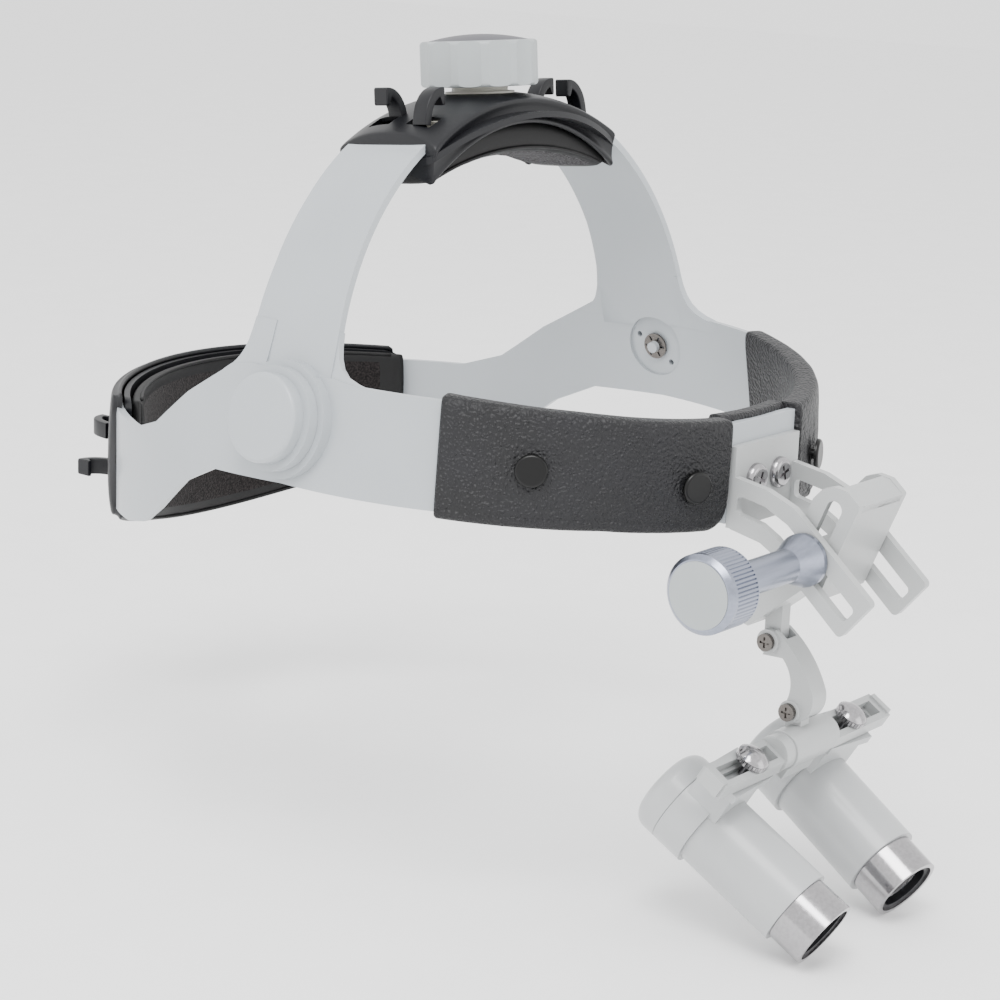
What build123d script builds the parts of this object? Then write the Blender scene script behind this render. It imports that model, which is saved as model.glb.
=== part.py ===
from build123d import *
import math
import os

# Binocular dental loupes on a head band. Millimetres, +Z up, the wearer looks along -Y,
# +X is the wearer's left. The origin is midway between the two temple hubs.

# ---- head band ----------------------------------------------------------------------------
HUB_X = 92.0            # half the distance between the outer faces of the temple hubs
LEAN = 0.2              # how far the side walls lean in for each millimetre of height
FRONT_B = 103.2         # forehead face, from the hub line
REAR_B = 134.0          # back of the head, from the hub line
SHEET = 2.2             # thickness of the moulded side panels
STUDS = [(-68.5, -70.7, -6.0), (-30.7, -98.6, -11.7)]   # press studs on the -X forehead arm
LEAN_STOP = -18.0       # below this height the rear of the band stands upright
BAND_LOW = -70.0
BAND_HIGH = 34.0
REAR_END_X = 57.5       # where the rear arm ends inside the rear housing
FACE_HALF = 17.0        # flat middle of the forehead plate
FACE_Y = -101.2

STRAP_LEAN = 5.0        # the strap and the top moulding lean back this many degrees
STRAP_R = 88.0          # overhead strap, outer radius about the Y axis
STRAP_Z = -1.6
STRAP_KNEE = 84.4       # above this half width the strap is round, below it straight
STRAP_FOOT = 92.3
STRAP_HALF = 15.0
STRAP_END_X = 42.8      # where the strap ends inside the top housing

# ---- saddle mouldings at the top and at the back of the head ------------------------------
# Half widths are (end, middle) on the local -Y side and on the local +Y side.
TOP_R = 98.0            # mid radius of the top moulding
TOP_CREST = 85.4
TOP_HALF_X = 46.0
TOP_SIDES = ((18.5, 25.0), (18.5, 25.0))
TOP_MOUTH = (-16.2, 16.2)
TOP_HOOK_X = 35.0
REAR_R = 85.0
REAR_CREST = 129.5
REAR_Z = -38.0
REAR_HALF_X = 65.5
REAR_SIDES = ((26.0, 28.0), (13.5, 28.0))
REAR_MOUTH = (-23.4, 11.8)
REAR_HOOK_X = 54.0
SADDLE_OUT = 2.9        # moulding's skin, outside and inside the mid radius
SADDLE_IN = 3.2
FLANGE_RISE = 1.3
FLANGE_W = 3.5
WALL = 1.6
BASE_T = 1.8
PAD_T = 5.0
GAP = 0.3

KNOB_R = 17.9
KNOB_H = 13.7
KNOB_LIFT = 1.5         # knob above the moulding
PINION_R = 5.0          # pitch radius
PINION_TEETH = 12
RACK_T = 1.8
RACK_W = 4.6
SHAFT_R = 2.5

# ---- optics carrier -----------------------------------------------------------------------
PLATE_HALF = 16.5       # half width of the forehead bracket over its two arms
PLATE_BACK = -101.3
PLATE_T = 2.2
SCREW_X = 6.2           # bracket screws
SCREW_Z = -12.5
ARM_T = 2.6
CLAMP_Y = -128.2        # clamp axis, along X
CLAMP_Z = -29.6
CLAMP_R = 1.6
CARRIAGE_HALF = 12.8
CARRIAGE_T = 2.4
CARRIAGE_LEAN = 22.0    # degrees from upright
HINGE_UP = (-110.5, -60.0)
HINGE_LOW = (-119.3, -79.2)
HINGE_PIN_R = 1.5

# ---- optics -------------------------------------------------------------------------------
TILT = 31.5             # downward look of the barrels
BAR_Y = -120.5
BAR_Z = -89.5
BARREL_DROP = 24.5      # barrel axis below the bar axis
CONVERGE = 4.6          # degrees each barrel turns in
PD_HALF = 26.8          # half the distance between the barrels at the bar
TUBE_R = 12.0
TUBE_FRONT = -35.0
TUBE_BACK = -1.5
RING_R = 10.75
RING_FRONT = -46.3
HOUSING_BACK = 8.5
COVER_BACK = 17.0


# ---- helpers ------------------------------------------------------------------------------
def mirrored(shape):
    """The same piece on the other side of the head."""
    return mirror(shape, about=Plane.YZ)


def rod(radius, start, end, x=0.0, y=0.0):
    """Cylinder along Z from start to end."""
    return Pos(x, y, (start + end) / 2) * Cylinder(radius, end - start)


def rod_x(radius, start, end, y=0.0, z=0.0):
    """Cylinder along X from start to end."""
    return Pos((start + end) / 2, y, z) * Rot(Y=90) * Cylinder(radius, end - start)


def rod_y(radius, start, end, x=0.0, z=0.0):
    """Cylinder along Y from start to end."""
    return Pos(x, (start + end) / 2, z) * Rot(X=90) * Cylinder(radius, end - start)


def block(x, y, z):
    """Box between pairs of limits."""
    size = [pair[1] - pair[0] for pair in (x, y, z)]
    middle = [(pair[1] + pair[0]) / 2 for pair in (x, y, z)]
    return Pos(*middle) * Box(*size)


def side_slab(points, x0, x1, radius=0.0):
    """Outline in the YZ plane, extruded along X from x0 to x1, its corners rounded."""
    face = make_face(Polyline(*points, close=True))
    if radius > 0:
        face = fillet(face.vertices(), radius)
    placed = Plane(origin=(x0, 0, 0), x_dir=(0, 1, 0), z_dir=(1, 0, 0)) * face
    return extrude(placed, amount=x1 - x0, dir=(1, 0, 0))


def direction_slot(centre, angle, length, width, x0, x1):
    """Round-ended slot cutter along X; angle is measured in the YZ plane from +Y."""
    face = Plane(origin=(x0, centre[0], centre[1]), x_dir=(0, 1, 0), z_dir=(1, 0, 0))
    return extrude(face * (Rot(Z=angle) * SlotOverall(length, width)), amount=x1 - x0, dir=(1, 0, 0))


# ---- head band ----------------------------------------------------------------------------
def leaning_oval(b, offset, low, high):
    """Oval solid round the head, its sides leaning in with height, grown outward by offset."""
    lower = Plane.XY.offset(low) * Ellipse(HUB_X - LEAN * low + offset, b + offset)
    upper = Plane.XY.offset(high) * Ellipse(HUB_X - LEAN * high + offset, b + offset)
    return loft([lower, upper])


def band_solid(offset):
    """Everything inside the band's outer face, grown outward by offset."""
    front = leaning_oval(FRONT_B, offset, BAND_LOW, BAND_HIGH)
    front = front & block((-200, 200), (-200, 0), (BAND_LOW, BAND_HIGH))
    upper = leaning_oval(REAR_B, offset, LEAN_STOP, BAND_HIGH)
    a_stop = HUB_X - LEAN * LEAN_STOP + offset
    foot = Plane.XY.offset(BAND_LOW) * Ellipse(a_stop, REAR_B + offset)
    lower = extrude(foot, amount=LEAN_STOP - BAND_LOW)
    rear = (upper + lower) & block((-200, 200), (0, 200), (BAND_LOW, BAND_HIGH))
    return front + rear


def panel_outline():
    """Side view of one side panel's band: forehead arm, hub and rear arm."""
    points = [
        (-102.0, 4.0), (-80.0, 7.6), (-48.0, 11.2), (-24.0, 12.0), (-15.0, 13.5),
        (17.0, 13.5), (24.5, 12.0), (44.0, 0.6), (60.0, -11.5), (74.0, -16.2),
        (140.0, -15.6), (140.0, -49.0), (98.0, -49.0), (80.0, -47.5), (66.0, -44.0), (56.0, -37.5),
        (41.0, -25.5), (26.0, -18.6), (-2.0, -17.6), (-50.0, -19.0), (-85.0, -21.2), (-102.0, -24.0),
    ]
    return side_slab(points, 0, 130, 1.2)


def hub_place():
    """Frame on the outer face of the +X hub, its Z pointing outward."""
    tilt = math.atan(LEAN)
    return Plane(
        origin=(HUB_X, 0, 0),
        x_dir=(0, 1, 0),
        z_dir=(math.cos(tilt), 0, math.sin(tilt)),
    )


def strap():
    """Overhead strap on the +X side: straight above the hub, then round, leaning back."""
    inner = STRAP_R - SHEET

    def on_arc(radius, x):
        return (x, STRAP_Z + math.sqrt(radius**2 - x**2))

    middle_x = (STRAP_KNEE + STRAP_END_X) / 2
    with BuildSketch(Plane.XZ) as profile:
        with BuildLine():
            Line((STRAP_FOOT, 0), on_arc(STRAP_R, STRAP_KNEE))
            ThreePointArc(*[on_arc(STRAP_R, x) for x in (STRAP_KNEE, middle_x, STRAP_END_X)])
            Line(on_arc(STRAP_R, STRAP_END_X), on_arc(inner, STRAP_END_X))
            ThreePointArc(*[on_arc(inner, x) for x in (STRAP_END_X, middle_x, STRAP_KNEE - SHEET)])
            Line(on_arc(inner, STRAP_KNEE - SHEET), (STRAP_FOOT - SHEET, 0))
            Line((STRAP_FOOT - SHEET, 0), (STRAP_FOOT, 0))
        make_face()
    body = extrude(profile.sketch, amount=40, both=True)
    half = STRAP_HALF
    side = side_slab([(-half, 7), (half + 4.7, 7), (half + 2.8, 25), (half + 0.9, 42), (half, 60),
                      (half, 130), (-half, 130)], 0, 130)
    return Rot(X=-STRAP_LEAN) * (body & side)


def side_panel():
    """White moulded side panel: forehead arm, rear arm, hub and overhead strap in one piece."""
    band = (band_solid(0) - band_solid(-SHEET)) & panel_outline()
    band = band - block((0, FACE_HALF + 2.3), (-130, 0), (-60, 40))
    band = band - block((0, REAR_END_X), (60, 160), (-80, 40))
    frame = hub_place()
    boss = frame * rod(17.0, -SHEET, 2.6)
    dish = frame * rod(10.5, -SHEET - 6, -1.2)
    pin_hole = frame * rod(1.95, -10, 10)
    inside = band_solid(-SHEET)
    return (band + strap() + (boss - inside)) - dish - pin_hole


def hub_disc():
    """Snap-in cover disc of the hub, with its centre pin."""
    disc = rod(15.0, 2.65, 6.2) + rod(12.85, 6.1, 10.5) - rod(11.3, 1.0, 9.0) + rod(3.4, 2.65, 9.1)
    disc = fillet(disc.edges().filter_by(GeomType.CIRCLE).sort_by(Axis.Z)[-1], 1.2)
    return hub_place() * (disc + rod(1.85, -4.4, 2.8))


def star_clip():
    """Star washer that holds the pin inside the dish."""
    washer = rod(4.4, -2.6, -1.9) - rod(1.86, -3, -1)
    for turn in range(6):
        washer = washer - Rot(Z=60 * turn) * Pos(3.0, 0, -2.2) * Box(1.6, 0.7, 2)
    return hub_place() * washer


def front_plate():
    """Flat forehead plate that joins the two panels, with a curved tongue behind each."""
    face = block((-FACE_HALF, FACE_HALF), (FACE_Y, FACE_Y + 2.6), (-24.5, 4.2))
    under = band_solid(-SHEET - 0.1) - band_solid(-SHEET - 2.1)
    tongues = under & block((-36.0, 36.0), (FACE_Y + 0.1, 0), (-19.5, 0.5))
    body = face + tongues
    for x in (-SCREW_X, SCREW_X):
        body = body - rod_y(1.6, -120, -90, x, SCREW_Z)
    return body


def leather_sleeve():
    """Padded leather cover of the forehead arm, open at both ends."""
    skin = band_solid(2.0) - band_solid(-7.5)
    outline = side_slab(
        [(-120, 5.8), (-102, 5.8), (-80, 9.4), (-49.0, 12.9), (-49.0, -20.8), (-85, -23.0), (-104, -26.2),
         (-120, -26.2)],
        0, 130, 2.0,
    )
    skin = skin & outline & block((17.2, 130), (-130, 0), (-60, 40))
    core = band_solid(GAP) - band_solid(-SHEET - 2.4)
    core = core & side_slab(
        [(-125, 4.9), (-102, 4.5), (-80, 8.0), (-40.0, 12.3), (-40.0, -19.4), (-85, -21.6), (-104, -24.8),
         (-125, -24.8)],
        0, 130,
    )
    skin = skin - core
    for place in STUDS:
        skin = skin - mirrored(stud_frame(place) * rod(1.6, -1, 5))
    return skin


def forehead_pad():
    """Leather pad behind the forehead plate."""
    pad = band_solid(-4.4) - band_solid(-9.5)
    return pad & block((-16.8, 16.8), (FACE_Y + 2.7, 0), (-22.5, 3.6))


def stud_frame(place):
    """Frame on the leather's outer face at a press stud, its Z pointing outward."""
    x, y, z = place
    a = HUB_X - LEAN * z
    b = FRONT_B
    normal = Vector(x / a**2, y / b**2, LEAN * x**2 / a**3).normalized()
    return Plane(origin=(x, y, z), z_dir=normal)


def press_studs():
    """Black press-stud caps, two on each forehead arm."""
    caps = []
    for place in STUDS:
        cap = rod(4.7, 2.35, 3.6)
        cap = fillet(cap.edges().sort_by(Axis.Z)[-1], 0.9)
        solid = stud_frame(place) * (cap + rod(1.5, -0.0, 2.4))
        caps += [solid, mirrored(solid)]
    return Compound(children=caps)


# ---- saddle mouldings ---------------------------------------------------------------------
def arc_tube(outer, inner, half=60.0):
    """Ring about the local Y axis through the origin."""
    return rod_y(outer, -half, half) - rod_y(inner, -half, half)


def plan_cut(half_x, sides, grow=0.0):
    """Straight-down outline of a saddle: narrow ends, bowed long sides, rounded corners."""
    (end_a, middle_a), (end_b, middle_b) = sides
    x = half_x + grow
    with BuildLine() as line:
        ThreePointArc((-x, -end_a - grow), (0, -middle_a - grow), (x, -end_a - grow))
        Line((x, -end_a - grow), (x, end_b + grow))
        ThreePointArc((x, end_b + grow), (0, middle_b + grow), (-x, end_b + grow))
        Line((-x, end_b + grow), (-x, -end_a - grow))
    face = fillet(make_face(line.line).vertices(), 3.0)
    return extrude(face, amount=200)


def hook(radius, angle, y, turn):
    """Cable hook standing on the moulding; turn is the side its arm points to."""
    post = block((-1.5, 1.5), (-2.4, 2.4), (-1.0, 8.5))
    arm = Pos(turn * 3.2, 0, 7.2) * Box(6.5, 4.8, 2.4)
    tip = Pos(turn * 5.4, 0, 5.8) * Box(2.0, 4.8, 3.0)
    return Rot(Y=angle) * Pos(0, y, radius) * (post + arm + tip)


def saddle(radius, half_x, sides, mouth, hook_x, hook_y):
    """Dark housing: a curved hollow strip with raised long edges and four cable hooks."""
    deck = radius + SADDLE_OUT
    body = arc_tube(deck + FLANGE_RISE, radius - SADDLE_IN) & plan_cut(half_x, sides)
    body = body - (arc_tube(deck + 20, deck) & plan_cut(half_x + 2 * FLANGE_W, sides, -FLANGE_W))
    cavity = arc_tube(deck - WALL, radius - SADDLE_IN - 1)
    body = body - (cavity & block((-half_x - 5, half_x + 5), mouth, (0, 200)))
    angle = math.degrees(math.asin(hook_x / radius))
    for side in (-1, 1):
        body = body + hook(deck, side * (angle + 0.6), hook_y + 6.8, side)
        body = body + hook(deck, side * angle, hook_y - 6.8, -side)
        for y in (-13.0, 0.0, 13.0):
            window = Pos(0, y, deck) * Box(7, 4.0, 8)
            body = body - Rot(Y=side * angle) * window
    return body - rod(10.7, 0, 200)


def saddle_base(radius, half_x, sides):
    """Plate that closes the housing from below and carries the pinion's foot."""
    top = radius - SADDLE_IN - 0.05
    plate = arc_tube(top, top - BASE_T) & plan_cut(half_x, sides, -1.0)
    return plate - rod(1.6, 0, 200)


def saddle_pad(radius, half_x, sides):
    """Soft pad under the base plate."""
    top = radius - SADDLE_IN - BASE_T - 0.35
    return arc_tube(top, top - PAD_T) & plan_cut(half_x, sides, -1.5)


def scalloped_knob(base):
    """Adjusting knob with shallow scallops, open at the top for its cap."""
    body = rod(KNOB_R, base, base + KNOB_H)
    body = fillet(body.edges().filter_by(GeomType.CIRCLE), 1.2)
    for turn in range(12):
        body = body - Rot(Z=30 * turn) * rod(14.0, base - 1, base + KNOB_H + 1, 31.1)
    body = body - rod(16.3, base + KNOB_H - 1.6, base + KNOB_H + 1)
    return body - rod(SHAFT_R, base - 1, base + 7)


def knob_cap(base):
    """Domed insert on top of the knob."""
    dome = Pos(0, 0, base + KNOB_H + 1.9 - 62) * Sphere(62)
    return dome & rod(16.2, base + KNOB_H - 1.55, base + KNOB_H + 4)


def pinion(low, high, gear_low, gear_high):
    """Knob shaft and its pinion in one piece."""
    gear = rod(PINION_R - 1.0, gear_low, gear_high)
    for turn in range(PINION_TEETH):
        face = make_face(Polyline((3.4, -0.62), (5.6, -0.3), (5.6, 0.3), (3.4, 0.62), close=True))
        tooth = extrude(Plane.XY.offset(gear_low) * face, amount=gear_high - gear_low)
        gear = gear + Rot(Z=360 / PINION_TEETH * turn) * tooth
    return gear + rod(SHAFT_R - 0.02, gear_high - 0.2, high) + rod(1.5, low, gear_low + 0.2)


def collar(low, high):
    """Ring under the knob that the shaft turns in."""
    ring = rod(10.6, low, (low + high) / 2) + rod(8.6, (low + high) / 2 - 0.01, high)
    return ring - rod(SHAFT_R + 0.05, low - 1, high + 1)


def rack(radius, first, last):
    """Curved toothed strip beside the pinion, reaching from x = -first to x = last."""
    pitch = 2 * math.pi * PINION_R / PINION_TEETH
    strip = arc_tube(radius + RACK_T / 2, radius - RACK_T / 2)
    strip = strip & block((-200, 200), (PINION_R + 1.3, PINION_R + 1.3 + RACK_W), (0, 200))
    for reach, side in ((first, -1), (last, 1)):
        angle = side * math.degrees(math.asin(reach / radius))
        strip = strip - Rot(Y=angle) * block(sorted((0, side * 300)), (-60, 60), (0, 300))
    step = math.degrees(pitch / radius)
    for index in range(-4, 4):
        face = make_face(Polyline((-0.55, 6.6), (-0.28, 4.5), (0.28, 4.5), (0.55, 6.6), close=True))
        tooth = Pos(0, 0, radius - RACK_T / 2 + 0.25) * extrude(face, amount=RACK_T - 0.5)
        strip = strip + Rot(Y=step * (index + 0.5)) * tooth
    return strip


def saddle_set(prefix, place, radius, half_x, sides, mouth, hook_x, hook_y, rack_span):
    """All the pieces of one adjusting unit, moved to their place on the head."""
    knob_base = radius + SADDLE_OUT + KNOB_LIFT
    pieces = {
        "housing": saddle(radius, half_x, sides, mouth, hook_x, hook_y),
        "base": saddle_base(radius, half_x, sides),
        "pad": saddle_pad(radius, half_x, sides),
        "pinion": pinion(radius - SADDLE_IN - BASE_T + 0.1, knob_base + 6.9, radius - 1.2, radius + 1.2),
        "knob": scalloped_knob(knob_base),
        "knob_cap": knob_cap(knob_base),
        "rack_left": rack(radius, *rack_span),
        "rack_right": Rot(Z=180) * rack(radius, *rack_span),
    }
    return {f"{prefix}_{name}": place * shape for name, shape in pieces.items()}


def knob_collars(places):
    """The two rings under the knobs."""
    rings = []
    for place, radius in places:
        crown = radius + SADDLE_OUT
        rings.append(place * collar(crown - 1.4, crown + KNOB_LIFT - 0.2))
    return Compound(children=rings)


# ---- bracket, clamp and carriage ----------------------------------------------------------
def arm_outline():
    """Side view of a bracket arm: level at the plate, then sloping down forward."""
    return [
        (-101.9, -10.3), (-114.5, -12.4), (-123.5, -15.9), (-150.4, -38.5),
        (-140.8, -50.0), (-118.5, -30.9), (-113.0, -27.8), (-101.9, -25.6),
    ]


def bracket():
    """Forehead bracket: a plate screwed to the band and two slotted arms."""
    plate = block((-PLATE_HALF, PLATE_HALF), (PLATE_BACK - PLATE_T, PLATE_BACK), (-25.6, -1.9))
    arm = side_slab(arm_outline(), PLATE_HALF - ARM_T, PLATE_HALF, 1.6)
    arm = arm - side_slab(
        [(-104.6, -15.4), (-114.0, -17.2), (-121.8, -21.0), (-145.2, -41.1),
         (-141.8, -45.1), (-118.3, -25.4), (-113.0, -22.5), (-104.6, -20.8)],
        0, 40, 1.5,
    )
    arm = arm - block((12.5, 20), (PLATE_BACK, -95), (-60, 20))
    body = plate + arm + mirrored(arm)
    for x in (-SCREW_X, SCREW_X):
        body = body - rod_y(1.6, -110, -90, x, SCREW_Z)
    return body


def bracket_screws():
    """Two raised-head screws that hold the bracket to the forehead plate."""
    head = rod(4.6, 0.05, 2.2)
    head = fillet(head.edges().sort_by(Axis.Z)[-1], 1.5)
    for turn in (20, 110):
        head = head - Rot(Z=turn) * Pos(0, 0, 2.2) * Box(4.6, 0.9, 1.6)
    screw = head + rod(1.55, -4.4, 0.1)
    place = Pos(SCREW_X, PLATE_BACK - PLATE_T, SCREW_Z) * Rot(X=90)
    return both(place * screw)


def clamp_bolt():
    """Bolt through both arms and the carriage, with its square foot outside the far arm."""
    foot = Pos(PLATE_HALF + 1.6, CLAMP_Y, CLAMP_Z) * Rot(X=-40) * Box(2.6, 8.2, 8.2)
    return rod_x(CLAMP_R, -60.0, PLATE_HALF + 0.5, CLAMP_Y, CLAMP_Z) + foot


def clamp_sleeve():
    """Turned aluminium sleeve that the knob pulls against the near arm."""
    with BuildSketch(Plane.XZ) as profile:
        with BuildLine():
            Polyline((17, CLAMP_R + 0.05), (17, 7.6), (18.6, 7.6), (20.6, 6.9), (26.6, 4.8), (56.4, 4.8),
                     (56.4, CLAMP_R + 0.05), close=True)
        make_face()
    turned = revolve(profile.sketch, Axis.X)
    return Pos(0, CLAMP_Y, CLAMP_Z) * mirror(turned, about=Plane.YZ)


def clamp_knob():
    """Knurled clamp knob, its face recessed for the disc."""
    knob = rod_x(11.0, -69.0, -56.6)
    knob = chamfer(knob.edges().filter_by(GeomType.CIRCLE).sort_by(Axis.X)[0], 1.3)
    knob = knob - rod_x(CLAMP_R + 0.05, -60.4, -50) - rod_x(9.3, -70, -68.2)
    for turn in range(60):
        knob = knob - Rot(X=6 * turn) * Pos(-61.8, 0, 11.15) * Rot(X=45) * Box(9.6, 0.62, 0.62)
    return Pos(0, CLAMP_Y, CLAMP_Z) * knob


def clamp_knob_disc():
    """Grey insert in the knob's face."""
    return rod_x(9.25, -69.2, -68.2, CLAMP_Y, CLAMP_Z)


def leaned(shape):
    """Carriage frame: origin on the clamp axis, Z up the leaning carriage."""
    return Pos(0, CLAMP_Y, CLAMP_Z) * Rot(X=CARRIAGE_LEAN) * shape


def slot_guides():
    """Guide blocks on the bolt, one in each carriage slot."""
    guides = []
    for side in (-1, 1):
        guide = Pos(side * (CARRIAGE_HALF - CARRIAGE_T / 2 - 0.4), 0, 0) * Box(CARRIAGE_T, 4.6, 7.0)
        guides.append(leaned(guide - rod_x(CLAMP_R + 0.04, -20, 20)))
    return Compound(children=guides)


def carriage_cheeks():
    """The two slotted cheeks that run on the guides."""
    cheek = side_slab([(-6.8, 20.9), (-1.4, 22.7), (2.8, 21.7), (5.7, 19.2), (7.2, 15.2), (7.2, -1.0),
                       (11.4, -6.0), (11.4, -9.6), (-6.8, -11.0)],
                      -CARRIAGE_HALF, -CARRIAGE_HALF + CARRIAGE_T, 1.0)
    cheek = cheek - direction_slot((0, 5.0), 90, 26.5, 5.0, -20, 0)
    return leaned(both(cheek))


def carriage():
    """Front plate, top flange and floor between the cheeks, with the hinge arm."""
    half = CARRIAGE_HALF - CARRIAGE_T - 0.02
    plate = block((-half, half), (-6.8, -4.4), (-11.0, 20.9))
    flange = block((-half, half), (-6.8, 1.0), (18.6, 20.9))
    floor = block((-half, half), (-6.8, 11.4), (-11.0, -8.6))
    return leaned(plate + flange + floor) + hinge_arm()


def hinge_arm():
    """Arm from the carriage floor back and down to the upper hinge, with its tongue."""
    y, z = HINGE_UP
    beam = side_slab([(-126.0, -38.8), (-122.4, -41.6), (-105.6, -55.6), (-101.2, -54.6),
                      (-101.4, -49.6), (-116.5, -35.5), (-121.0, -35.5)], -8.0, 8.0)
    tongue = rod_x(2.8, -2.2, 2.2, y, z) + block((-2.2, 2.2), (y - 2.8, y + 2.8), (z, z + 11.0))
    return beam + tongue - rod_x(HINGE_PIN_R + 0.04, -10, 10, y, z)


def hinge_screw(place, half):
    """Cross-head hinge screw, its head on the -X side."""
    y, z = place
    head = rod_x(2.6, -half - 1.5, -half - 0.05, y, z)
    head = head - Pos(-half - 1.5, y, z) * Box(1.0, 3.2, 0.7) - Pos(-half - 1.5, y, z) * Box(1.0, 0.7, 3.2)
    return head + rod_x(HINGE_PIN_R, -half - 0.2, half - 0.3, y, z)


def c_arm():
    """C-shaped link between the two hinges, forked at both ends."""
    with BuildLine() as line:
        ThreePointArc((-112.5, -56.2), (-119.3, -61.9), (-126.2, -73.2))
        ThreePointArc((-126.2, -73.2), (-125.6, -78.6), (-121.0, -82.6))
        Line((-121.0, -82.6), (-115.4, -79.6))
        ThreePointArc((-115.4, -79.6), (-118.6, -71.4), (-115.3, -64.2))
        Line((-115.3, -64.2), (-108.5, -64.5))
        Line((-108.5, -64.5), (-112.5, -56.2))
    side = Plane(origin=(-3.8, 0, 0), x_dir=(0, 1, 0), z_dir=(1, 0, 0)) * make_face(line.line)
    body = extrude(side, amount=7.6, dir=(1, 0, 0))
    for place, radius in ((HINGE_UP, 3.6), (HINGE_LOW, 3.3)):
        body = body + rod_x(radius, -4.9, 4.9, *place)
    for place in (HINGE_UP, HINGE_LOW):
        body = body - rod_x(5.4, -2.5, 2.5, *place)
        body = body - rod_x(HINGE_PIN_R + 0.02, -10, 10, *place)
    return body


# ---- optics, in a frame on the bar axis looking along -Y --------------------------------------
def tilted(shape):
    """Moves a piece from the optics frame to its place under the hinge."""
    return Pos(0, BAR_Y, BAR_Z) * Rot(X=TILT) * shape


def centre_body():
    """Cross tube that carries the two slotted arms, with the lower hinge's tongue."""
    tube = rod_x(5.9, -9.5, 9.5)
    tube = tube - rod_x(3.4, -10, 10)
    skirt = block((-7.5, 7.5), (-4.5, 5.5), (-8.5, -4.6))
    body = tilted(tube + (skirt - rod_x(5.0, -10, 10)))
    y, z = HINGE_LOW
    tongue = rod_x(2.9, -2.2, 2.2, y, z) + block((-2.2, 2.2), (y - 2.8, y + 2.8), (z - 6.5, z))
    tongue = tongue - tilted(rod_x(5.0, -10, 10))
    return body + tongue - rod_x(HINGE_PIN_R + 0.04, -10, 10, *HINGE_LOW)


def pd_arm():
    """Slotted arm plugged into the cross tube; the barrel slides along it (-X side)."""
    bar = block((-44.5, -13.0), (-4.6, 4.6), (-3.2, 1.6))
    bar = bar + block((-45.5, -43.4), (-3.6, 3.6), (-3.0, 2.4))
    bar = bar + rod_x(5.3, -14.2, -9.6) + rod_x(3.35, -9.7, -1.2)
    bar = bar - block((-41.5, -15.5), (-2.5, 2.5), (-1.6, 3)) - block((-40.5, -16.5), (-1.3, 1.3), (-6, 3))
    return tilted(bar)


def barrel_frame(shape):
    """Barrel frame: origin on the bar at the thumb screw, -Y along the (converging) line of sight."""
    return tilted(Pos(-PD_HALF, 0, 0) * Rot(Z=CONVERGE) * shape)


def thumb_screw():
    """Domed, knurled clamping screw through the slot into the barrel's carrier."""
    head = rod(4.9, 1.9, 3.5)
    for turn in range(30):
        head = head - Rot(Z=12 * turn) * Pos(5.0, 0, 2.7) * Rot(Z=45) * Box(0.4, 0.4, 1.8)
    dome = (Pos(0, 0, -0.6) * Sphere(6.3)) & rod(4.7, 3.4, 7)
    return tilted(Pos(-PD_HALF, 0, 0) * (head + dome + rod(1.2, -6.8, 2.0)))


def prism_housing():
    """Housing behind the tube: it holds the prism and hangs from the slotted arm."""
    axis = -BARREL_DROP
    body = rod_y(13.2, TUBE_BACK + 0.05, HOUSING_BACK, 0, axis)
    neck = block((-9.0, 9.0), (-4.2, 7.6), (axis + 8, -4.0))
    shelf = block((-10.5, 10.5), (-5.4, 5.4), (-6.4, -3.7))
    body = body + neck + shelf
    body = body - rod_y(TUBE_R + 0.1, TUBE_BACK - 9, TUBE_BACK, 0, axis)
    body = body - rod_y(10.6, TUBE_BACK - 2, HOUSING_BACK + 2, 0, axis) - rod(1.25, -9, 0)
    return barrel_frame(body)


def housing_cover():
    """Rear cover of the prism housing, rounded, with the eyepiece tube inside it."""
    axis = -BARREL_DROP
    shell = rod_y(13.2, HOUSING_BACK + 0.1, COVER_BACK, 0, axis)
    shell = fillet(shell.edges().filter_by(GeomType.CIRCLE).sort_by(Axis.Y)[-1], 4.4)
    shell = shell - rod_y(11.0, 0, COVER_BACK - 4.6, 0, axis)
    shell = shell + rod_y(8.0, COVER_BACK - 8.0, COVER_BACK - 4.0, 0, axis)
    return barrel_frame(shell - rod_y(6.6, 0, 40, 0, axis) - rod_y(8.05, COVER_BACK - 1.8, 40, 0, axis))


def barrel_tube():
    """White tube of one telescope."""
    axis = -BARREL_DROP
    tube = rod_y(TUBE_R, TUBE_FRONT, TUBE_BACK, 0, axis) + rod_y(10.5, TUBE_BACK - 1, 2.0, 0, axis)
    return barrel_frame(tube - rod_y(9.4, TUBE_FRONT - 1, 3, 0, axis))


def objective_ring():
    """Polished ring at the front of the tube."""
    axis = -BARREL_DROP
    ring = rod_y(RING_R, RING_FRONT, TUBE_FRONT - 0.1, 0, axis) + rod_y(9.35, TUBE_FRONT - 1, TUBE_FRONT + 4, 0, axis)
    ring = ring - rod_y(8.0, RING_FRONT - 1, TUBE_FRONT + 5, 0, axis) - rod_y(9.3, RING_FRONT - 1, RING_FRONT + 3.2, 0, axis)
    return barrel_frame(ring)


def retaining_ring():
    """Dark ring that holds the objective in."""
    axis = -BARREL_DROP
    ring = rod_y(9.25, RING_FRONT + 0.9, RING_FRONT + 3.1, 0, axis)
    return barrel_frame(ring - rod_y(7.6, RING_FRONT, RING_FRONT + 4, 0, axis))


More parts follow.
